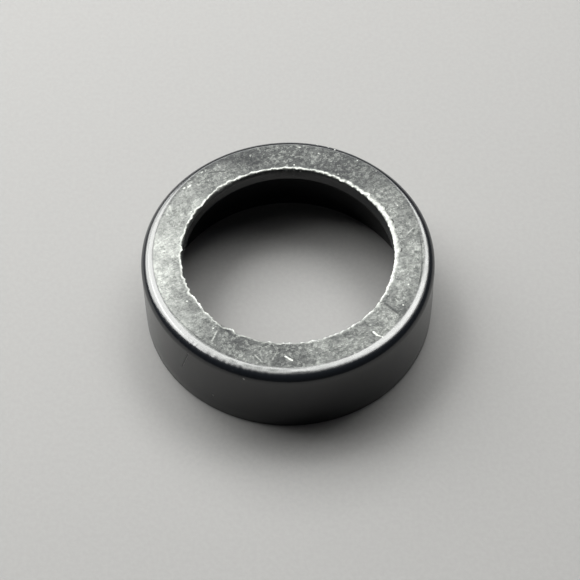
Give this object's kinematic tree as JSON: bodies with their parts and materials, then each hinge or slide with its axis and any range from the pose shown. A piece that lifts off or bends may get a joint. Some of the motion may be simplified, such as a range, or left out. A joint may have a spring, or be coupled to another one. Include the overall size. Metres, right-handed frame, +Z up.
{
  "type": "sealing ring",
  "caption": "Moulded black rubber sealing ring of the cap type: flat flange with a round bore, rounded shoulder and a plain hollow skirt below it.",
  "frame": {"origin": "centre of the foot circle, in the plane that the ring stands on", "axes": "+Z up along the ring's axis, from the foot to the flange's top face; X and Y are free, because the ring is round"},
  "size_m": [0.03, 0.03, 0.0088],
  "materials": {
    "black_rubber": "dull moulded, lightly dusted"
  },
  "bodies": {
    "root": {"sealing_ring": "black_rubber"}
  },
  "joints": []
}
